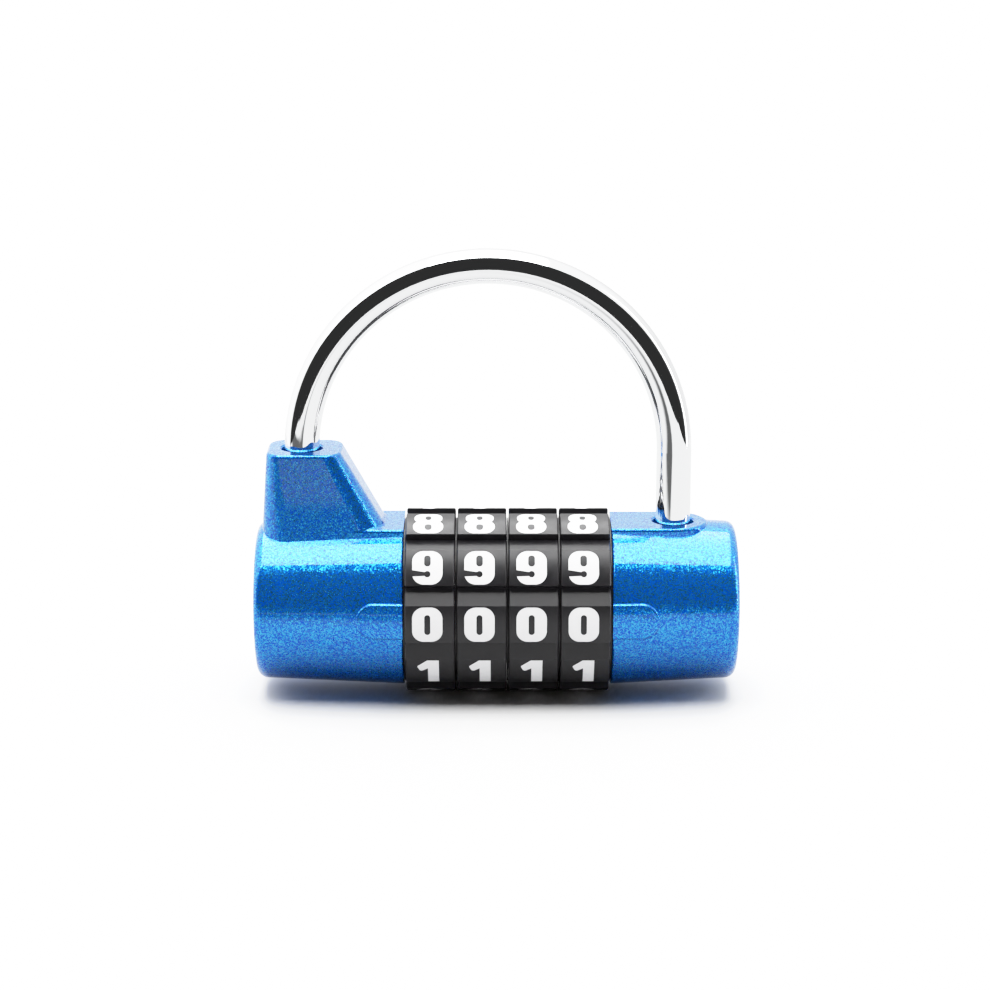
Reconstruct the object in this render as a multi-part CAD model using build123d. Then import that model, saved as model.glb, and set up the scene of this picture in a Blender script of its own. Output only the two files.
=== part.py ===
from build123d import *
import math
import os

os.makedirs("parts", exist_ok=True)

# A four-dial luggage padlock. All sizes are in millimetres. X runs along the barrel, with the
# shackle's hinge leg at -X and its toe at +X. Z is up, and -Y is the side the code is read from.
# Every piece is drawn about the barrel's axis, and write() lifts it so that the dials touch Z = 0.

# ---- overall -----------------------------------------------------------------------------------
BARREL_LENGTH = 66.0
BARREL_RADIUS_AT_DIALS = 11.75
BARREL_RADIUS_AT_END = 10.85
BARREL_END_FILLET = 1.4
BARREL_INNER_FILLET = 0.25
BARREL_END = BARREL_LENGTH / 2
DIAL_RADIUS = 12.65
# a dial stands on the edges of its finger grooves, just short of its full radius
AXIS_HEIGHT = 12.59
RUNNING_GAP = 0.05

# ---- row of dials ------------------------------------------------------------------------------
DIAL_COUNT = 4
DIAL_PITCH = 7.02
DIAL_GAP = 0.3
DIAL_WIDTH = DIAL_PITCH - DIAL_GAP
ROW_START = -12.52
ROW_END = ROW_START + DIAL_COUNT * DIAL_PITCH
BODY_FACE_GAP = 0.16
LEFT_FACE = ROW_START - BODY_FACE_GAP
RIGHT_FACE = ROW_END + BODY_FACE_GAP
DIGITS = 10
STEP_ANGLE = 360 / DIGITS
DIAL_EDGE_CHAMFER = 0.14
# each finger groove has a long sloping lower wall and a steep upper wall
GROOVE_START_ANGLE = 12.4
GROOVE_FLOOR_ANGLE = 24.2
GROOVE_END_ANGLE = 24.8
GROOVE_DEPTH = 1.0

# ---- numerals ----------------------------------------------------------------------------------
DIGIT_WIDTH = 4.1
DIGIT_HEIGHT = 4.84
DIGIT_TOP = DIGIT_HEIGHT / 2
DIGIT_STROKE = 1.5
STROKE_TOP = DIGIT_TOP - DIGIT_STROKE / 2
DIGIT_SHIFT = (-0.3, 0.13)
PAINT_SINK = 0.04
POCKET_DEPTH = 0.3

# ---- shackle -----------------------------------------------------------------------------------
ROD_RADIUS = 2.4
HINGE_LEG_X = -26.62
TOE_LEG_X = 24.32
BOW_RADIUS = (TOE_LEG_X - HINGE_LEG_X) / 2
BOW_CENTRE_X = (TOE_LEG_X + HINGE_LEG_X) / 2
BOW_CENTRE_Z = 21.3
LEG_BOTTOM_Z = -9.6
TOE_BOTTOM_Z = 4.9
ROD_END_CHAMFER = 0.5
LIFT = 8.5
LEG_HOLE_RADIUS = ROD_RADIUS + RUNNING_GAP
HOLE_MOUTH_RADIUS = 2.85
HOLE_MOUTH_DEPTH = 2.6
HOLE_MOUTH_CHAMFER = 0.2
LEG_HOLE_BOTTOM_Z = -9.8
TOE_HOLE_BOTTOM_Z = 4.5

# ---- tower round the hinge leg -----------------------------------------------------------------
TOWER_TOP_Z = 21.65
TOWER_BASE_Z = 10.8
TOWER_FOOT_Z = 8.2
TOWER_TOP_X = (-31.34, -21.26)
TOWER_BASE_X = (-32.12, -14.99)
TOWER_HALF_DEPTH = (4.85, 5.3)
TOWER_CORNER = (2.4, 3.6)
TOWER_TOP_FILLET = 0.45
TOWER_FOOT_FILLET = 0.4

# ---- flats on the barrel and index marks -------------------------------------------------------
FLAT_Z = 11.35
LEFT_FLAT_HALF_WIDTH = 5.4
RIGHT_FLAT_HALF_WIDTH = 4.8
FLAT_FOOT_Z = 5.0
FLAT_EDGE_FILLET = 0.45
MARK_LENGTH = 6.4
MARK_HEIGHT = 5.0
MARK_RELIEF = 0.6
MARK_EDGE_FILLET = 0.45
MARK_Z = 0.3

# ---- core tube, spindle and cams ---------------------------------------------------------------
TUBE_OUTER = 3.5
TUBE_INNER = 2.6
TUBE_START = -23.3
TUBE_END = 21.0
TUBE_SLOT_WIDTH = 1.7
SEAT_GAP = 0.02
SPINDLE_RADIUS = 1.7
NOSE_RADIUS = 1.2
NOSE_START = -22.4
NOSE_HOLE_RADIUS = 1.4
SPINDLE_TRAVEL = 2.3
RAMP_SLOPE = SPINDLE_TRAVEL / LIFT
RAMP_TOP_Z = 1.35
RAMP_RUNOUT_Z = NOSE_RADIUS - LIFT
NOSE_GAP = 0.06
FLANGE_X = (20.2, 20.9)
FLANGE_RADIUS = 2.5
STUB_END = 23.6
STUB_RADIUS = 1.2
FIN_WIDTH = 1.2
FIN_THICKNESS = 1.0
FIN_RADIUS = 4.8
FIN_START = 1.5

HUB_START = 0.25
HUB_END = DIAL_PITCH - 0.25
HUB_BORE = TUBE_OUTER + RUNNING_GAP
HUB_RADIUS = 8.4
TOOTH_RADIUS = 9.2
TOOTH_WIDTH = 2.0
SPLINE_GAP = 0.06
RECESS_RADIUS = 5.05
LOCKED_RECESS = (1.3, 2.6)
OPEN_RECESS = (3.55, 5.05)
GATE_WIDTH = 1.6
FLUTE_RADIUS = 0.75
FLUTE_START = 5.05

# ---- small parts -------------------------------------------------------------------------------
WASHER_THICKNESS = 0.3
WASHER_RADIUS = 7.4
WASHER_SKIRT_THICKNESS = 0.16
WASHER_SKIRT_RADIUS = 11.3
DISC_SPRING_X = RIGHT_FACE + 0.02
DISC_SPRING_RISE = 0.3
DISC_SPRING_THICKNESS = 0.2
DISC_SPRING_RADII = (3.6, 5.4)
DISC_POCKET_DEPTH = 0.6
DISC_POCKET_RADIUS = 5.6
LEAF_THICKNESS = 0.2
LEAF_WIDTH = 0.9
LEAF_POCKET_WIDTH = 1.2
LEAF_POCKET_FLOOR = 3.05
LEAF_START = 1.3
LEAF_BEND = 4.9
LEAF_CREST = 5.85
LEAF_END = 6.6
LEAF_CREST_RADIUS = 4.05
SPRING_WIRE = 0.25
SPRING_MEAN_RADIUS = 2.1
SPRING_TURNS = 8
CHAMBER_RADIUS = 3.0
CHAMBER_END = 30.4
STOP_PIN_RADIUS = 0.8
STOP_PIN_X = -29.05
STOP_PIN_Z = 13.0
STOP_PIN_Y = (-3.9, 4.6)
STOP_SLOT_DEPTH = 0.85
RETAINING_PIN_RADIUS = 0.9
RETAINING_PIN_X = (-17.5, 18.6)
RETAINING_PIN_TIP = 2.75
RETAINING_PIN_HEAD = 10.9


# ---- helpers -----------------------------------------------------------------------------------
def turned(points):
    """A solid of revolution about the barrel axis, from (x, radius) corners."""
    outline = Plane.XZ * make_face(Polyline(*points, close=True))
    return revolve(outline, axis=Axis.X)


def disc(x_from, x_to, outer, inner=0.0):
    """A plain ring about the barrel axis."""
    return turned([(x_from, inner), (x_from, outer), (x_to, outer), (x_to, inner)])


def upright(x, z_from, z_to, radius):
    """A vertical cylinder on the barrel's middle plane."""
    height = z_to - z_from
    return Pos(x, 0, z_from + height / 2) * Cylinder(radius, height)


def crosswise(x, z, y_from, y_to, radius):
    """A cylinder that runs front to back."""
    length = y_to - y_from
    return Pos(x, y_from + length / 2, z) * Rot(90, 0, 0) * Cylinder(radius, length)


def block(x_range, y_range, z_range):
    """A box between three pairs of limits."""
    middle = [(low + high) / 2 for low, high in (x_range, y_range, z_range)]
    size = [high - low for low, high in (x_range, y_range, z_range)]
    return Pos(*middle) * Box(*size)


def write(name, *solids):
    """Lift a piece to its place above the ground and write its STEP file."""
    placed = [Pos(0, 0, AXIS_HEIGHT) * solid for solid in solids]
    piece = placed[0] if len(placed) == 1 else Compound(children=placed)
    export_step(piece, f"parts/{name}.step")


# ---- the two barrel castings -------------------------------------------------------------------
def barrel_half(face_x, end_x, grow=0.0):
    """One tapered half of the barrel, with a rounded outer edge. grow swells it evenly."""
    near = BARREL_RADIUS_AT_DIALS + grow
    far = BARREL_RADIUS_AT_END + grow
    body = turned([(face_x, 0), (face_x, near), (end_x, far), (end_x, 0)])
    if grow:
        return body
    rims = body.edges().filter_by(GeomType.CIRCLE)
    outer_rim = rims.sort_by(lambda edge: abs(edge.center().X))[-1]
    body = fillet(outer_rim, BARREL_END_FILLET)
    rims = body.edges().filter_by(GeomType.CIRCLE)
    inner_rim = rims.sort_by(lambda edge: abs(edge.center().X - face_x))[0]
    return fillet(inner_rim, BARREL_INNER_FILLET)


def index_mark(face_x, end_x):
    """The low half-stadium that points at the code, on the front of the barrel."""
    side = 1 if end_x > face_x else -1
    radius = MARK_HEIGHT / 2
    straight = MARK_LENGTH - radius
    outline = Pos(face_x + side * straight / 2, MARK_Z) * Rectangle(straight, MARK_HEIGHT)
    outline += Pos(face_x + side * straight, MARK_Z) * Circle(radius)
    prism = extrude(Plane.XZ * outline, amount=DIAL_RADIUS + 2)
    prism -= block((-BARREL_END, BARREL_END), (-5, 5), (-DIAL_RADIUS, DIAL_RADIUS))
    mark = prism & barrel_half(face_x, end_x, MARK_RELIEF)
    front = mark.faces().sort_by(Axis.Y)[0]
    rim = [edge for edge in front.edges() if abs(edge.center().X - face_x) > 0.01]
    return fillet(rim, MARK_EDGE_FILLET)


def flat_outline(face_x, end_x, half_width):
    """Plan of a flat: straight from the dials, with a round end about end_x."""
    outline = Pos((face_x + end_x) / 2, 0) * Rectangle(abs(end_x - face_x), 2 * half_width)
    return outline + Pos(end_x, 0) * Circle(half_width)


def add_flat(body, face_x, end_x, half_width):
    """Level the barrel's crown to FLAT_Z inside the plan, and build up its sides."""
    plan = Pos(0, 0, FLAT_Z) * flat_outline(face_x, end_x, half_width)
    above = extrude(plan, amount=BARREL_RADIUS_AT_DIALS)
    raised = extrude(plan, amount=FLAT_FOOT_Z - FLAT_Z)
    top_edges = raised.edges().group_by(Axis.Z)[-1]
    side_edges = top_edges.filter_by(lambda edge: abs(edge.center().X - face_x) > 0.01)
    raised = fillet(side_edges, FLAT_EDGE_FILLET)
    return body - above + raised


def tower_section(z):
    """The tower's rounded-rectangle section. Its sides slope evenly from base to top."""
    share = (z - TOWER_BASE_Z) / (TOWER_TOP_Z - TOWER_BASE_Z)
    left = TOWER_BASE_X[0] + share * (TOWER_TOP_X[0] - TOWER_BASE_X[0])
    right = TOWER_BASE_X[1] + share * (TOWER_TOP_X[1] - TOWER_BASE_X[1])
    half_depth = TOWER_HALF_DEPTH[1] + share * (TOWER_HALF_DEPTH[0] - TOWER_HALF_DEPTH[1])
    corner = TOWER_CORNER[1] + share * (TOWER_CORNER[0] - TOWER_CORNER[1])
    rectangle = RectangleRounded(right - left, 2 * half_depth, corner)
    return Pos((left + right) / 2, 0, z) * rectangle


def tower():
    """The gusseted tower that guides the hinge leg."""
    solid = loft([tower_section(TOWER_FOOT_Z), tower_section(TOWER_TOP_Z)], ruled=True)
    return fillet(solid.edges().group_by(Axis.Z)[-1], TOWER_TOP_FILLET)


def join_tower(body):
    """The body with its tower, and a small fillet where the tower stands on the flat."""
    post = tower()
    joined = body + post
    known = [edge.center() for edge in body.edges() + post.edges()]
    seams = []
    for edge in joined.edges():
        middle = edge.center()
        is_new = min((middle - other).length for other in known) > 0.001
        if is_new and abs(middle.Z - FLAT_Z) < 0.05:
            seams.append(edge)
    return fillet(seams, TOWER_FOOT_FILLET)


def hole_mouth(x, top_z):
    """A wider mouth round a shackle hole, with a chamfered rim."""
    mouth = upright(x, top_z - HOLE_MOUTH_DEPTH, top_z, HOLE_MOUTH_RADIUS)
    size = HOLE_MOUTH_CHAMFER
    cone = Cone(HOLE_MOUTH_RADIUS, HOLE_MOUTH_RADIUS + size, size)
    return mouth + Pos(x, 0, top_z - size / 2) * cone


def left_body():
    body = barrel_half(LEFT_FACE, -BARREL_END)
    body = add_flat(body, LEFT_FACE, TOWER_BASE_X[1] - TOWER_CORNER[1], LEFT_FLAT_HALF_WIDTH)
    body = join_tower(body)
    body += index_mark(LEFT_FACE, -BARREL_END)
    body -= disc(TUBE_START - SEAT_GAP, LEFT_FACE, TUBE_OUTER + SEAT_GAP)
    body -= disc(HINGE_LEG_X, TUBE_START, NOSE_HOLE_RADIUS)
    body -= upright(HINGE_LEG_X, LEG_HOLE_BOTTOM_Z, TOWER_TOP_Z, LEG_HOLE_RADIUS)
    body -= hole_mouth(HINGE_LEG_X, TOWER_TOP_Z)
    body -= crosswise(STOP_PIN_X, STOP_PIN_Z, STOP_PIN_Y[0] - SEAT_GAP, 8, STOP_PIN_RADIUS + SEAT_GAP)
    return body - retaining_pin(RETAINING_PIN_X[0], SEAT_GAP)


def right_body():
    body = barrel_half(RIGHT_FACE, BARREL_END)
    body = add_flat(body, RIGHT_FACE, TOE_LEG_X, RIGHT_FLAT_HALF_WIDTH)
    body += index_mark(RIGHT_FACE, BARREL_END)
    body -= disc(RIGHT_FACE, TUBE_END + SEAT_GAP, TUBE_OUTER + SEAT_GAP)
    body -= disc(RIGHT_FACE, RIGHT_FACE + DISC_POCKET_DEPTH, DISC_POCKET_RADIUS)
    body -= disc(TUBE_END, CHAMBER_END, CHAMBER_RADIUS)
    body -= upright(TOE_LEG_X, TOE_HOLE_BOTTOM_Z, FLAT_Z, LEG_HOLE_RADIUS)
    body -= hole_mouth(TOE_LEG_X, FLAT_Z)
    return body - retaining_pin(RETAINING_PIN_X[1], SEAT_GAP)


def retaining_pin(x, grow=0.0):
    """A short pin from the back of the barrel into the core tube. grow makes its hole."""
    head = RETAINING_PIN_HEAD + 3 * (grow > 0)
    return crosswise(x, 0, RETAINING_PIN_TIP - grow, head, RETAINING_PIN_RADIUS + grow)


# ---- core tube with its fin slot and leaf pockets ------------------------------------------------
def core_tube():
    tube = disc(TUBE_START, TUBE_END, TUBE_OUTER, TUBE_INNER)
    slot_half = TUBE_SLOT_WIDTH / 2
    tube -= block((ROW_START, ROW_END), (-slot_half, slot_half), (0, TUBE_OUTER + 1))
    pocket_half = LEAF_POCKET_WIDTH / 2
    for index in range(DIAL_COUNT):
        start = ROW_START + index * DIAL_PITCH
        pocket_x = (start + LEAF_START - 0.1, start + LEAF_END + 0.1)
        tube -= block(pocket_x, (-pocket_half, pocket_half), (-TUBE_OUTER - 1, -LEAF_POCKET_FLOOR))
    for x in RETAINING_PIN_X:
        tube -= retaining_pin(x, SEAT_GAP)
    return tube


# ---- spindle -----------------------------------------------------------------------------------
def ramp_surface_x(z):
    """X of the hinge leg's ramp at height z, with the shackle down."""
    depth = RAMP_SLOPE * (z - RAMP_RUNOUT_Z)
    return HINGE_LEG_X + ROD_RADIUS - depth


def beyond_ramp(gap):
    """Everything to the right of the ramp, within the leg hole's reach, at the given gap."""
    low, high = -12.0, RAMP_TOP_Z
    right = HINGE_LEG_X + 6
    corners = [(ramp_surface_x(low) + gap, low), (right, low), (right, high)]
    corners.append((ramp_surface_x(high) + gap, high))
    profile = Plane.XZ * make_face(Polyline(*corners, close=True))
    return extrude(profile, amount=ROD_RADIUS * 2, both=True)


def spindle():
    """The locking spindle: an angled nose, four fins, and a flange for its spring."""
    nose = disc(HINGE_LEG_X - ROD_RADIUS, NOSE_START, NOSE_RADIUS) & beyond_ramp(NOSE_GAP)
    rod = nose + disc(NOSE_START, FLANGE_X[0], SPINDLE_RADIUS)
    rod += disc(*FLANGE_X, FLANGE_RADIUS)
    rod += disc(FLANGE_X[1], STUB_END, STUB_RADIUS)
    for index in range(DIAL_COUNT):
        x = ROW_START + index * DIAL_PITCH + FIN_START
        rod += block((x, x + FIN_THICKNESS), (-FIN_WIDTH / 2, FIN_WIDTH / 2), (0, FIN_RADIUS))
    return rod


def spindle_spring():
    """The compression spring between the spindle's flange and the right body."""
    start = FLANGE_X[1] + SPRING_WIRE + 0.05
    length = CHAMBER_END - start - SPRING_WIRE - 0.05
    coil = Helix(length / SPRING_TURNS, length, SPRING_MEAN_RADIUS)
    section = Plane(coil @ 0, z_dir=coil % 0) * Circle(SPRING_WIRE)
    wire = sweep(section, path=coil, is_frenet=True)
    return Pos(start, 0, 0) * Rot(0, 90, 0) * wire


# ---- shackle -----------------------------------------------------------------------------------
def shackle():
    foot = (HINGE_LEG_X, 0, LEG_BOTTOM_Z)
    bow_start = (HINGE_LEG_X, 0, BOW_CENTRE_Z)
    bow_top = (BOW_CENTRE_X, 0, BOW_CENTRE_Z + BOW_RADIUS)
    bow_end = (TOE_LEG_X, 0, BOW_CENTRE_Z)
    toe = (TOE_LEG_X, 0, TOE_BOTTOM_Z)
    path = Line(foot, bow_start) + ThreePointArc(bow_start, bow_top, bow_end) + Line(bow_end, toe)
    rod = sweep(Pos(*foot) * Circle(ROD_RADIUS), path=path)
    ends = [edge for edge in rod.edges().filter_by(GeomType.CIRCLE) if is_rod_end(edge)]
    rod = chamfer(ends, ROD_END_CHAMFER)
    rod -= beyond_ramp(0)
    return rod - stop_slot() - swivel_groove()


def is_rod_end(edge):
    """True for the rim of either end face of the rod."""
    z = edge.center().Z
    return abs(z - LEG_BOTTOM_Z) < 0.01 or abs(z - TOE_BOTTOM_Z) < 0.01


def stop_slot():
    """The flat down the outside of the hinge leg that the stop pin runs in."""
    floor_x = HINGE_LEG_X - ROD_RADIUS + STOP_SLOT_DEPTH
    top = STOP_PIN_Z + STOP_PIN_RADIUS + RUNNING_GAP
    return block((floor_x - 2, floor_x), (-3, 3), (stop_slot_bottom(), top))


def stop_slot_bottom():
    return STOP_PIN_Z - LIFT - STOP_PIN_RADIUS - RUNNING_GAP


def swivel_groove():
    """The ring groove at the foot of the slot, which lets the raised shackle swing round."""
    low = stop_slot_bottom()
    high = low + 2 * (STOP_PIN_RADIUS + RUNNING_GAP)
    ring = upright(HINGE_LEG_X, low, high, ROD_RADIUS + 1)
    return ring - upright(HINGE_LEG_X, low, high, ROD_RADIUS - STOP_SLOT_DEPTH)


# ---- numerals, as flat outlines about their own centre ------------------------------------------
def brush(*strokes):
    """Round-ended strokes of the numerals' width along lines and arcs."""
    shape = Sketch()
    for edge in strokes:
        shape += trace([edge], DIGIT_STROKE)
        for end in (edge @ 0, edge @ 1):
            shape += Pos(end.X, end.Y) * Circle(DIGIT_STROKE / 2)
    return shape


def zero():
    counter = RectangleRounded(0.8, 2.75, 0.39)
    return RectangleRounded(DIGIT_WIDTH, DIGIT_HEIGHT, 1.55) - counter


def one():
    flag = [(-0.1, DIGIT_TOP), (-1.5, 1.3), (-1.0, 0.2), (0, 0.85)]
    outline = make_face(Polyline((1.5, -DIGIT_TOP), (1.5, DIGIT_TOP), *flag, (0, -DIGIT_TOP), close=True))
    soft = [vertex for vertex in outline.vertices() if vertex.X < -0.05]
    return fillet(soft, 0.35)


def two():
    hook = ThreePointArc((-1.2, 0.75), (0, STROKE_TOP), (1.2, 0.65))
    slope = Line((1.2, 0.65), (-1.05, -STROKE_TOP))
    heel = Pos(0, 0.55 - DIGIT_TOP) * Rectangle(DIGIT_WIDTH, 1.1)
    return brush(hook, slope) + heel


def three():
    shape = eight_outline() - Pos(-0.875, 1.15) * Rectangle(2.55, 0.75)
    shape -= Pos(-0.85, -1.1) * Rectangle(2.6, 0.85)
    return shape - Pos(-1.45, 0) * Rectangle(1.3, 1.6)


def four():
    stem = Pos(0.75, 0) * Rectangle(DIGIT_STROKE, DIGIT_HEIGHT)
    bar = Pos(0, -0.9) * Rectangle(DIGIT_WIDTH, 1.4)
    slope = make_face(Polyline((-2.05, -0.2), (0.1, DIGIT_TOP), (1.5, DIGIT_TOP), (-0.6, -0.3), close=True))
    return stem + bar + slope


def five():
    bar = Pos(0.1, DIGIT_TOP - 0.6) * Rectangle(3.6, 1.2)
    riser = Pos(-1.0, 0.9) * Rectangle(1.4, 1.8)
    bowl = Pos(0, 1.7 - DIGIT_TOP) * RectangleRounded(DIGIT_WIDTH, 3.4, 1.4)
    return bar + riser + bowl - Pos(-0.85, -0.75) * Rectangle(2.6, 1.0)


def six():
    return Rot(0, 0, 180) * nine()


def seven():
    bar = Pos(0, DIGIT_TOP - 0.7) * Rectangle(DIGIT_WIDTH, 1.4)
    corners = [(2.05, 1.2), (0.35, 1.2), (-1.15, -DIGIT_TOP), (0.55, -DIGIT_TOP)]
    return bar + make_face(Polyline(*corners, close=True))


def eight_outline():
    upper_height, lower_height = 2.7, 2.85
    shape = Pos(0, DIGIT_TOP - upper_height / 2) * RectangleRounded(3.8, upper_height, 1.2)
    return shape + Pos(0, lower_height / 2 - DIGIT_TOP) * RectangleRounded(DIGIT_WIDTH, lower_height, 1.3)


def eight():
    shape = eight_outline() - Pos(0, 1.15) * RectangleRounded(0.8, 1.0, 0.38)
    return shape - Pos(0, -1.1) * RectangleRounded(0.95, 1.2, 0.45)


def nine():
    shape = RectangleRounded(DIGIT_WIDTH, DIGIT_HEIGHT, 1.55)
    shape -= Pos(0, 0.92) * RectangleRounded(0.9, 1.6, 0.43)
    notch = make_face(Polyline((-2.2, -0.4), (0, -0.76), (0, -1.2), (-2.2, -1.3), close=True))
    return shape - notch - Pos(0, -0.98) * Circle(0.43)


NUMERALS = [zero, one, two, three, four, five, six, seven, eight, nine]


def numeral_blank(shape, value, inner, outer):
    """A numeral's prism, cut to the curved layer between two radii, at its place on the dial."""
    outline = Pos(*DIGIT_SHIFT) * shape
    prism = extrude(Plane.XZ * outline, amount=DIAL_RADIUS + 1)
    layer = disc(-DIGIT_WIDTH, DIGIT_WIDTH, outer, inner)
    front = block((-DIGIT_WIDTH, DIGIT_WIDTH), (-DIAL_RADIUS - 2, -5), (-5, 5))
    curved = prism & (layer & front)
    # turning the dial's top towards the reader brings the next lower numeral to the front
    return Rot(value * STEP_ANGLE, 0, 0) * curved


# ---- dial and its code hub, drawn about x = 0 at the middle of the dial ---------------------------
def on_circle(angle, radius):
    """(y, z) of a point at an angle above the front."""
    turn = math.radians(angle)
    return -radius * math.cos(turn), radius * math.sin(turn)


def finger_groove(position):
    """The groove between two numerals: sloping lower wall, steep upper wall."""
    base = position * STEP_ANGLE
    outside = DIAL_RADIUS + 1.0
    floor = DIAL_RADIUS - GROOVE_DEPTH
    corners = [
        on_circle(base + GROOVE_START_ANGLE, DIAL_RADIUS),
        on_circle(base + GROOVE_FLOOR_ANGLE, floor),
        on_circle(base + GROOVE_END_ANGLE, DIAL_RADIUS),
        on_circle(base + GROOVE_END_ANGLE, outside),
        on_circle(base + GROOVE_START_ANGLE, outside),
    ]
    profile = Plane.YZ * make_face(Polyline(*corners, close=True))
    return extrude(profile, amount=DIAL_WIDTH, both=True)


def reach(edge):
    """The farthest an edge's ends lie from the barrel axis."""
    return max(math.hypot(vertex.Y, vertex.Z) for vertex in edge.vertices())


def spline_teeth(grow):
    """Ten radial teeth about the axis. grow widens and lengthens them into sockets."""
    reach = TOOTH_RADIUS + grow
    half = TOOTH_WIDTH / 2 + grow
    length = HUB_END - HUB_START
    tooth = block((-length / 2, length / 2), (-half, half), (HUB_RADIUS - 1, reach))
    round_off = disc(-length, length, reach)
    return [Rot(index * STEP_ANGLE, 0, 0) * tooth & round_off for index in range(DIGITS)]


def dial(pockets):
    ring = disc(-DIAL_WIDTH / 2, DIAL_WIDTH / 2, DIAL_RADIUS, HUB_RADIUS + SPLINE_GAP)
    for position in range(DIGITS):
        ring -= finger_groove(position)
    faces = [face for face in ring.faces() if abs(abs(face.center().X) - DIAL_WIDTH / 2) < 0.01]
    rims = [edge for face in faces for edge in face.edges() if reach(edge) > DIAL_RADIUS - GROOVE_DEPTH - 0.01]
    ring = chamfer(rims, DIAL_EDGE_CHAMFER)
    through = 2 * DIAL_WIDTH / (HUB_END - HUB_START)
    for tooth in spline_teeth(SPLINE_GAP):
        ring -= scale(tooth, (through, 1, 1))
    for pocket in pockets:
        ring -= pocket
    return ring


def code_hub():
    """The hub inside a dial: a gated web between two fin recesses, and ten detent flutes."""
    middle = DIAL_PITCH / 2
    hub = disc(HUB_START - middle, HUB_END - middle, HUB_RADIUS, HUB_BORE)
    for tooth in spline_teeth(0):
        hub += tooth
    for low, high in (LOCKED_RECESS, OPEN_RECESS):
        hub -= disc(low - middle, high - middle, RECESS_RADIUS, HUB_BORE - 0.1)
    gate_x = (LOCKED_RECESS[1] - 0.1 - middle, OPEN_RECESS[0] + 0.1 - middle)
    gate_half = GATE_WIDTH / 2
    hub -= block(gate_x, (-gate_half, gate_half), (0, RECESS_RADIUS - 0.02))
    flute_length = HUB_END - FLUTE_START + 0.1
    flute = Pos(FLUTE_START - middle + flute_length / 2, 0, -HUB_BORE) * Rot(0, 90, 0)
    for index in range(DIGITS):
        hub -= Rot(index * STEP_ANGLE, 0, 0) * flute * Cylinder(FLUTE_RADIUS, flute_length)
    return hub


# ---- small parts -------------------------------------------------------------------------------
def detent_spring(index):
    """A leaf in the core tube's pocket, with a crest that clicks into the hub's flutes."""
    start = ROW_START + index * DIAL_PITCH
    rest = -(LEAF_POCKET_FLOOR + 0.02)
    crest = -(LEAF_CREST_RADIUS - LEAF_THICKNESS)
    under = [
        (start + LEAF_START, rest),
        (start + LEAF_BEND, rest),
        (start + LEAF_CREST, crest),
        (start + LEAF_END, rest),
    ]
    outer = [(x, z - LEAF_THICKNESS) for x, z in reversed(under)]
    profile = Plane.XZ * make_face(Polyline(*under, *outer, close=True))
    return extrude(profile, amount=LEAF_WIDTH / 2, both=True)


def spacer_washer(index):
    """A washer between the hubs, with a thin skirt that fills the gap between the dials."""
    middle = ROW_START + index * DIAL_PITCH
    half = WASHER_THICKNESS / 2
    thin = WASHER_SKIRT_THICKNESS / 2
    washer = disc(middle - half, middle + half, WASHER_RADIUS)
    washer += disc(middle - thin, middle + thin, WASHER_SKIRT_RADIUS)
    return washer - disc(middle - half, middle + half, TUBE_OUTER + SEAT_GAP)


def hub_disc_spring():
    """The coned spring that keeps the hubs together, in a pocket of the right body."""
    inner, outer = DISC_SPRING_RADII
    x = DISC_SPRING_X
    corners = [
        (x, inner),
        (x + DISC_SPRING_THICKNESS, inner),
        (x + DISC_SPRING_THICKNESS + DISC_SPRING_RISE, outer),
        (x + DISC_SPRING_RISE, outer),
    ]
    return turned(corners)


# ---- write every piece -------------------------------------------------------------------------
write("left_body", left_body())
write("right_body", right_body())
write("core_tube", core_tube())
write("left_retaining_pin", retaining_pin(RETAINING_PIN_X[0]))
write("right_retaining_pin", retaining_pin(RETAINING_PIN_X[1]))
write("shackle", shackle())
write("shackle_stop_pin", crosswise(STOP_PIN_X, STOP_PIN_Z, *STOP_PIN_Y, STOP_PIN_RADIUS))
write("spindle", spindle())
write("spindle_spring", spindle_spring())
write("hub_disc_spring", hub_disc_spring())
for index in range(DIAL_COUNT + 1):
    write(f"spacer_washer_{index + 1}", spacer_washer(index))

outlines = [numeral() for numeral in NUMERALS]
pockets = []
paint = []
for value, outline in enumerate(outlines):
    floor_radius = DIAL_RADIUS - POCKET_DEPTH
    pockets.append(numeral_blank(outline, value, floor_radius, DIAL_RADIUS + 1))
    paint.append(numeral_blank(outline, value, floor_radius, DIAL_RADIUS - PAINT_SINK))
dial_ring = dial(pockets)
hub = code_hub()
for index in range(DIAL_COUNT):
    place = Pos(ROW_START + (index + 0.5) * DIAL_PITCH, 0, 0)
    write(f"dial_{index + 1}", place * dial_ring)
    write(f"dial_{index + 1}_numerals", *[place * numeral for numeral in paint])
    write(f"code_hub_{index + 1}", place * hub)
    write(f"detent_spring_{index + 1}", detent_spring(index))
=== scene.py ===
import bpy
import math
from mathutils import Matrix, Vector

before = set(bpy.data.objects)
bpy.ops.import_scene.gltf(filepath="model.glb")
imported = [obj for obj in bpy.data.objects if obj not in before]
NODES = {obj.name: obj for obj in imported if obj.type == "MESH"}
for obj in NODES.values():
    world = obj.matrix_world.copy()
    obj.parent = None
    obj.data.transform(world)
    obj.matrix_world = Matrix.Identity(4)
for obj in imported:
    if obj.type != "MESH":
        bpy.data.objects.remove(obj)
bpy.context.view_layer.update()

MM = 0.001
# the colour sockets of a Mix node, which share their names with its other sockets
MIX_FIRST_COLOUR = 6
MIX_SECOND_COLOUR = 7
MIX_COLOUR_RESULT = 2


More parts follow.
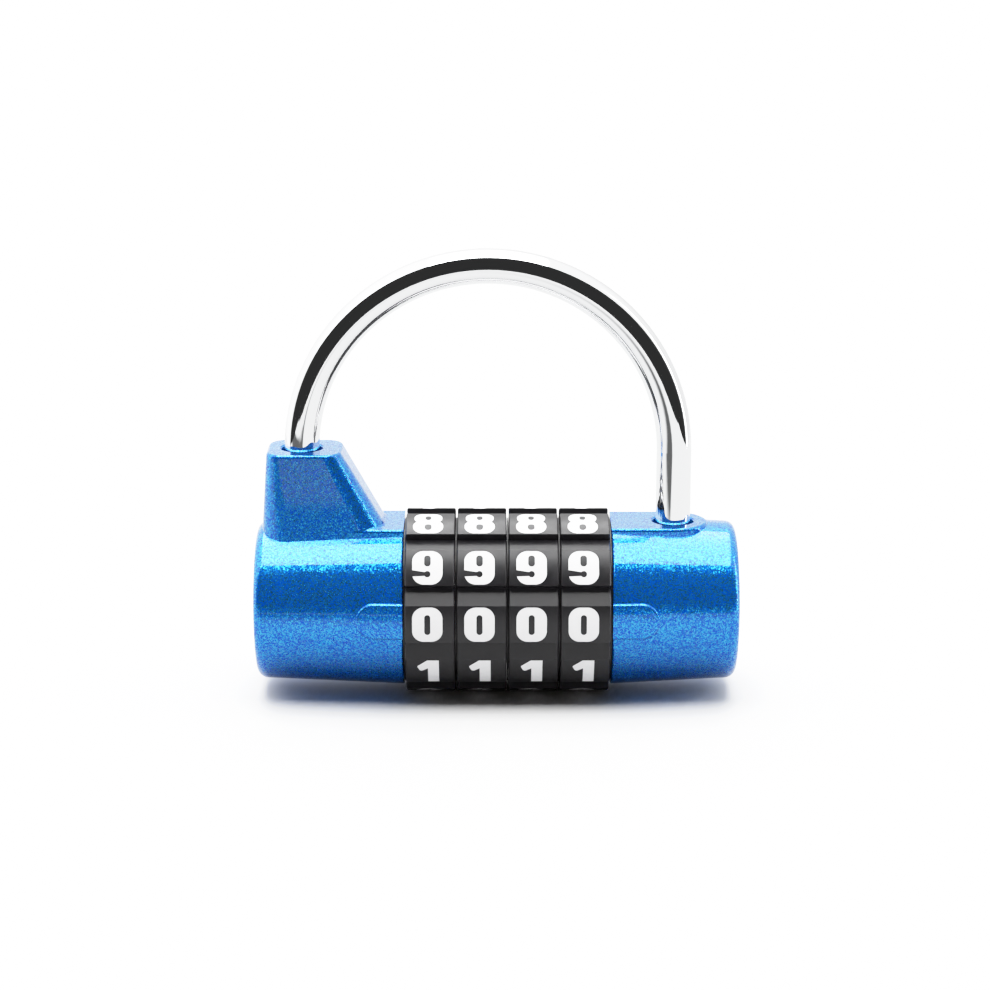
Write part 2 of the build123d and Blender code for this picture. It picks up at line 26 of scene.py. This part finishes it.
# ---- small helpers for node trees ---------------------------------------------------------------
class Tree:
    """A material's or world's node tree, with short calls to add and join nodes."""

    def __init__(self, owner):
        owner.use_nodes = True
        self.tree = owner.node_tree
        self.tree.nodes.clear()

    def node(self, kind, **settings):
        made = self.tree.nodes.new(kind)
        for name, value in settings.items():
            setattr(made, name, value)
        return made

    def join(self, output, socket):
        self.tree.links.new(output, socket)

    def math(self, operation, first, second=None, clamp=False):
        made = self.node("ShaderNodeMath", operation=operation, use_clamp=clamp)
        for socket, value in zip(made.inputs, (first, second)):
            self.put(value, socket)
        return made.outputs[0]

    def put(self, value, socket):
        if value is None:
            return
        if hasattr(value, "is_output"):
            self.join(value, socket)
        else:
            socket.default_value = value

    def object_coordinates(self):
        return self.node("ShaderNodeTexCoord").outputs["Object"]

    def noise(self, scale, detail=2.0, roughness=0.5, vector=None):
        made = self.node("ShaderNodeTexNoise")
        made.inputs["Scale"].default_value = scale
        made.inputs["Detail"].default_value = detail
        made.inputs["Roughness"].default_value = roughness
        self.join(vector or self.object_coordinates(), made.inputs["Vector"])
        return made.outputs["Fac"]

    def ramp(self, value, low, high, bottom=0.0, top=1.0):
        made = self.node("ShaderNodeMapRange")
        self.put(value, made.inputs["Value"])
        for name, number in zip(("From Min", "From Max", "To Min", "To Max"), (low, high, bottom, top)):
            made.inputs[name].default_value = number
        return made.outputs["Result"]

    def mix_colour(self, share, first, second):
        made = self.node("ShaderNodeMix", data_type="RGBA")
        self.put(share, made.inputs["Factor"])
        self.put(first, made.inputs[MIX_FIRST_COLOUR])
        self.put(second, made.inputs[MIX_SECOND_COLOUR])
        return made.outputs[MIX_COLOUR_RESULT]

    def bump(self, height, distance, strength=1.0, normal=None):
        made = self.node("ShaderNodeBump")
        made.inputs["Strength"].default_value = strength
        made.inputs["Distance"].default_value = distance
        self.join(height, made.inputs["Height"])
        if normal is not None:
            self.join(normal, made.inputs["Normal"])
        return made.outputs["Normal"]


def shader(name, **values):
    """A new material with one Principled shader. Constant values are set on its own sockets."""
    material = bpy.data.materials.new(name)
    tree = Tree(material)
    surface = tree.node("ShaderNodeBsdfPrincipled")
    output = tree.node("ShaderNodeOutputMaterial")
    tree.join(surface.outputs["BSDF"], output.inputs["Surface"])
    for socket, value in values.items():
        surface.inputs[socket.replace("_", " ")].default_value = value
    return material, tree, surface


# ---- materials ----------------------------------------------------------------------------------
FLAKES_PER_METRE = 7000
FLAKE_TILT = 0.18
PIGMENT_BLUE = (0.0, 0.07, 0.5, 1)
FLAKE_CYAN = (0.03, 0.39, 0.82, 1)
PLASTIC_DARK = (0.007, 0.007, 0.008, 1)
PLASTIC_LIGHT = (0.014, 0.013, 0.015, 1)
NUMERAL_DARK = (0.82, 0.82, 0.83, 1)
NUMERAL_LIGHT = (0.93, 0.93, 0.94, 1)
CHROME_TINT = (0.86, 0.87, 0.88, 1)


def flake_normal(tree, scale, tilt):
    """A normal that leans a different way in each small cell, as metal flakes in paint lie."""
    cells = tree.node("ShaderNodeTexVoronoi")
    cells.inputs["Scale"].default_value = scale
    tree.join(tree.object_coordinates(), cells.inputs["Vector"])
    centred = tree.node("ShaderNodeVectorMath", operation="SUBTRACT")
    tree.join(cells.outputs["Color"], centred.inputs[0])
    centred.inputs[1].default_value = (0.5, 0.5, 0.5)
    scaled = tree.node("ShaderNodeVectorMath", operation="SCALE")
    tree.join(centred.outputs[0], scaled.inputs[0])
    scaled.inputs["Scale"].default_value = tilt
    geometry = tree.node("ShaderNodeNewGeometry")
    added = tree.node("ShaderNodeVectorMath", operation="ADD")
    tree.join(geometry.outputs["Normal"], added.inputs[0])
    tree.join(scaled.outputs[0], added.inputs[1])
    unit = tree.node("ShaderNodeVectorMath", operation="NORMALIZE")
    tree.join(added.outputs[0], unit.inputs[0])
    return unit.outputs[0], cells


def blue_paint():
    """Metallic blue lacquer: cyan flakes in a deep blue pigment, under a clear coat."""
    material, tree, surface = shader(
        "blue_metallic_paint", Roughness=0.2, Specular_IOR_Level=0.0,
        Coat_Weight=1.0, Coat_Roughness=0.04, Coat_IOR=1.38,
    )
    normal, cells = flake_normal(tree, FLAKES_PER_METRE, FLAKE_TILT)
    tree.join(normal, surface.inputs["Normal"])
    separate = tree.node("ShaderNodeSeparateColor")
    tree.join(cells.outputs["Color"], separate.inputs[0])
    flake = separate.outputs[0]
    tree.join(tree.ramp(flake, 0.0, 0.8, 0.25, 0.9), surface.inputs["Metallic"])
    share = tree.ramp(flake, 0.2, 1.0)
    colour = tree.mix_colour(share, PIGMENT_BLUE, FLAKE_CYAN)
    tree.join(colour, surface.inputs["Base Color"])
    orange_peel = tree.bump(tree.noise(900, 2.0), 0.004 * MM)
    tree.join(orange_peel, surface.inputs["Coat Normal"])
    return material


def chrome():
    material, tree, surface = shader("chrome_plate", Metallic=1.0)
    surface.inputs["Base Color"].default_value = CHROME_TINT
    roughness = tree.ramp(tree.noise(260, 3.0), 0.3, 0.7, 0.02, 0.06)
    tree.join(roughness, surface.inputs["Roughness"])
    return material


def black_plastic():
    material, tree, surface = shader("black_dial_plastic", Specular_IOR_Level=0.44)
    wear = tree.noise(700, 3.0)
    colour = tree.mix_colour(wear, PLASTIC_DARK, PLASTIC_LIGHT)
    tree.join(colour, surface.inputs["Base Color"])
    tree.join(tree.ramp(wear, 0.3, 0.7, 0.3, 0.42), surface.inputs["Roughness"])
    tree.join(tree.bump(tree.noise(9000, 2.0), 0.006 * MM), surface.inputs["Normal"])
    return material


def white_paint():
    material, tree, surface = shader("white_numeral_paint", Roughness=0.45)
    patches = tree.noise(1500, 3.0)
    colour = tree.mix_colour(patches, NUMERAL_DARK, NUMERAL_LIGHT)
    tree.join(colour, surface.inputs["Base Color"])
    tree.join(tree.bump(patches, 0.01 * MM), surface.inputs["Normal"])
    return material


def bare_metal(name, tint, low, high):
    """Bare turned or cast metal, with fine uneven roughness."""
    material, tree, surface = shader(name, Metallic=1.0)
    patches = tree.noise(1200, 4.0)
    dull = tuple(0.75 * channel for channel in tint) + (1,)
    tree.join(tree.mix_colour(patches, dull, tint + (1,)), surface.inputs["Base Color"])
    tree.join(tree.ramp(patches, 0.3, 0.7, low, high), surface.inputs["Roughness"])
    tree.join(tree.bump(tree.noise(6000, 2.0), 0.004 * MM), surface.inputs["Normal"])
    return material


def dress(material, slot, *starts):
    """Give a material to every CAD node whose name starts with one of the words."""
    for name, item in NODES.items():
        if not name.startswith(starts):
            continue
        item.data.materials.clear()
        item.data.materials.append(material)


dress(blue_paint(), "blue_paint", "left_body", "right_body")
dress(chrome(), "chrome", "shackle")
dress(black_plastic(), "black_plastic", "dial_", "spacer_")
numeral_nodes = tuple(name for name in NODES if name.endswith("_numerals"))
dress(white_paint(), "white_paint", *numeral_nodes)
steel_nodes = ("core_tube", "left_retaining", "right_retaining", "shackle_stop", "spindle")
dress(bare_metal("turned_steel", (0.6, 0.6, 0.62), 0.2, 0.35), "steel", *steel_nodes)
spring_nodes = ("spindle_spring", "hub_disc_spring", "detent_")
dress(bare_metal("spring_steel", (0.38, 0.38, 0.4), 0.25, 0.4), "spring_steel", *spring_nodes)
dress(bare_metal("cast_brass", (0.75, 0.55, 0.25), 0.3, 0.45), "brass", "code_hub_")


# ---- studio -------------------------------------------------------------------------------------
SOFTBOX_LIGHT = 6.3
CEILING_LIGHT = 1.8
WALL_LIGHT = 1.3
ROOM_LIGHT = 0.03
STRIP_LIGHT = 14.0
BACKDROP_LIGHT = 8.0
# edges of the softbox, as run over rise
SOFTBOX_FRONT = 0.4545
SOFTBOX_BACK = 0.9
SOFTBOX_SIDE = 0.4
FLOOR_FRONT = -0.22
FLOOR_SIDE = 0.2
FLOOR_BACK = 0.9
# painted shade: a dark patch on the paper, ahead of the lock and to its left, that only reflections see
PAINTED_SHADE_NEAR = (-60 * MM, -90 * MM)
PAINTED_SHADE_FAR = (-165 * MM, -150 * MM)
PAINTED_SHADE_SIDE = (0, -15 * MM)
PAINTED_SHADE_GREY = (0.04, 0.04, 0.04, 1)
FILL_SIZE = 0.16
FILL_POWER = 1.9
FILL_ELEVATION = math.radians(30)
FILL_DISTANCE = 0.6
FILL_LEFT = -0.1
CAMERA_LENS = 97.8
CAMERA_TARGET = Vector((-0.2, 0, 27.49)) * MM
CAMERA_ELEVATION = math.radians(14.8)
CAMERA_DISTANCE = 0.37


def studio_world():
    """A dark room in front, a softbox overhead, a strip light at the right, and pale walls behind."""
    world = bpy.data.worlds.new("studio")
    bpy.context.scene.world = world
    tree = Tree(world)
    direction = tree.node("ShaderNodeTexCoord").outputs["Generated"]
    parts = tree.node("ShaderNodeSeparateXYZ")
    tree.join(direction, parts.inputs[0])
    right, back, up = parts.outputs

    def inside(run, limit):
        """1 where run is less than limit times the rise, with a narrow soft edge."""
        return tree.ramp(tree.math("SUBTRACT", tree.math("MULTIPLY", up, limit), run), 0.0, 0.012)

    forward = tree.math("MULTIPLY", back, -1.0)
    sideways = tree.math("ABSOLUTE", right)
    under_front = inside(forward, SOFTBOX_FRONT)
    window = tree.math("MULTIPLY", under_front, inside(back, SOFTBOX_BACK))
    window = tree.math("MULTIPLY", window, inside(sideways, SOFTBOX_SIDE))
    ceiling = tree.ramp(up, 0.3, 0.7, WALL_LIGHT, CEILING_LIGHT)
    behind = tree.ramp(forward, 0.2, 0.02)
    surround = tree.math("MULTIPLY", ceiling, tree.math("MAXIMUM", behind, under_front))
    strip = tree.math("MULTIPLY", tree.ramp(right, 0.3, 0.34), tree.ramp(up, 0.75, 0.6))
    off_centre = tree.math("ABSOLUTE", tree.math("SUBTRACT", back, 0.04))
    strip = tree.math("MULTIPLY", strip, tree.ramp(off_centre, 0.05, 0.04))
    light = tree.math("ADD", tree.math("MULTIPLY", window, SOFTBOX_LIGHT), surround)
    light = tree.math("ADD", light, tree.math("MULTIPLY", strip, STRIP_LIGHT))
    light = tree.math("MULTIPLY", light, tree.ramp(right, -0.9, 0.3, 1.6, 0.95))
    strength = tree.math("ADD", light, ROOM_LIGHT)
    lit = tree.node("ShaderNodeBackground")
    lit.inputs["Color"].default_value = (1, 1, 1, 1)
    tree.join(strength, lit.inputs["Strength"])
    plain = tree.node("ShaderNodeBackground")
    plain.inputs["Color"].default_value = (1, 1, 1, 1)
    plain.inputs["Strength"].default_value = BACKDROP_LIGHT
    seen = tree.node("ShaderNodeLightPath").outputs["Is Camera Ray"]
    either = tree.node("ShaderNodeMixShader")
    tree.join(seen, either.inputs[0])
    tree.join(lit.outputs[0], either.inputs[1])
    tree.join(plain.outputs[0], either.inputs[2])
    output = tree.node("ShaderNodeOutputWorld")
    tree.join(either.outputs[0], output.inputs["Surface"])
    return world


def floor():
    """A sheet of paper, paler to the camera than in reflections, with painted shade in a patch that only
    reflections see.
    """
    material, tree, surface = shader("white_paper", Roughness=0.9, Specular_IOR_Level=0.2)
    fibres = tree.noise(900, 3.0)
    shade = tree.mix_colour(fibres, (0.46, 0.46, 0.46, 1), (0.48, 0.48, 0.48, 1))
    place = tree.node("ShaderNodeSeparateXYZ")
    tree.join(tree.object_coordinates(), place.inputs[0])
    ahead = tree.ramp(place.outputs[1], *PAINTED_SHADE_NEAR)
    not_far = tree.ramp(place.outputs[1], *PAINTED_SHADE_FAR)
    at_left = tree.ramp(place.outputs[0], *PAINTED_SHADE_SIDE)
    # painted shade: the paper is darkened to grey in a patch ahead of the lock and to its left
    dark = tree.math("MULTIPLY", tree.math("MULTIPLY", ahead, not_far), at_left)
    shade = tree.mix_colour(dark, shade, PAINTED_SHADE_GREY)
    seen = tree.node("ShaderNodeLightPath").outputs["Is Camera Ray"]
    bright = tree.mix_colour(fibres, (0.84, 0.84, 0.84, 1), (0.87, 0.87, 0.87, 1))
    tree.join(tree.mix_colour(seen, shade, bright), surface.inputs["Base Color"])
    mesh = bpy.data.meshes.new("paper")
    corners = [(-FLOOR_SIDE, FLOOR_FRONT), (FLOOR_SIDE, FLOOR_FRONT)]
    corners += [(FLOOR_SIDE, FLOOR_BACK), (-FLOOR_SIDE, FLOOR_BACK)]
    mesh.from_pydata([(x, y, 0) for x, y in corners], [], [(0, 1, 2, 3)])
    mesh.materials.append(material)
    paper = bpy.data.objects.new("paper", mesh)
    bpy.context.scene.collection.objects.link(paper)
    return paper


def front_fill(paper):
    """A large soft light from the front, kept off the paper and out of reflections."""
    data = bpy.data.lights.new("front_fill", "AREA")
    data.shape = "SQUARE"
    data.size = FILL_SIZE
    data.energy = FILL_POWER
    item = bpy.data.objects.new("front_fill", data)
    bpy.context.scene.collection.objects.link(item)
    rise = math.sin(FILL_ELEVATION)
    item.location = Vector((FILL_LEFT, -math.cos(FILL_ELEVATION), rise)) * FILL_DISTANCE
    item.rotation_euler = (math.pi / 2 - FILL_ELEVATION, 0, 0)
    item.visible_glossy = False
    item.visible_camera = False
    paper_only = bpy.data.collections.new("paper_only")
    paper_only.objects.link(paper)
    item.light_linking.receiver_collection = paper_only
    paper_only.collection_objects[0].light_linking.link_state = "EXCLUDE"
    return item


def camera():
    """The main view: straight from the front, a little above."""
    data = bpy.data.cameras.new("view")
    data.lens = CAMERA_LENS
    data.sensor_width = 36
    item = bpy.data.objects.new("view", data)
    bpy.context.scene.collection.objects.link(item)
    rise = math.sin(CAMERA_ELEVATION)
    offset = Vector((0, -math.cos(CAMERA_ELEVATION), rise)) * CAMERA_DISTANCE
    item.location = CAMERA_TARGET + offset
    item.rotation_euler = (math.pi / 2 - CAMERA_ELEVATION, 0, 0)
    bpy.context.scene.camera = item
    return item


studio_world()
front_fill(floor())
camera()


FILM_WHITE = 8.0
FILM_POINTS = ((0.4, 0.4), (0.7, 0.66), (1.0, 0.82), (1.5, 0.94), (2.0, 0.985), (2.6, 1.0))


def film_curve():
    """Ease bright tones towards white, as film and cameras do, so that gloss keeps its colour."""
    view = bpy.context.scene.view_settings
    view.view_transform = "Standard"
    view.use_curve_mapping = True
    mapping = view.curve_mapping
    mapping.white_level = (FILM_WHITE, FILM_WHITE, FILM_WHITE)
    curve = mapping.curves[3]
    for light, shown in FILM_POINTS:
        curve.points.new(light / FILM_WHITE, shown)
    for point in curve.points:
        point.handle_type = "VECTOR"
    mapping.update()


film_curve()
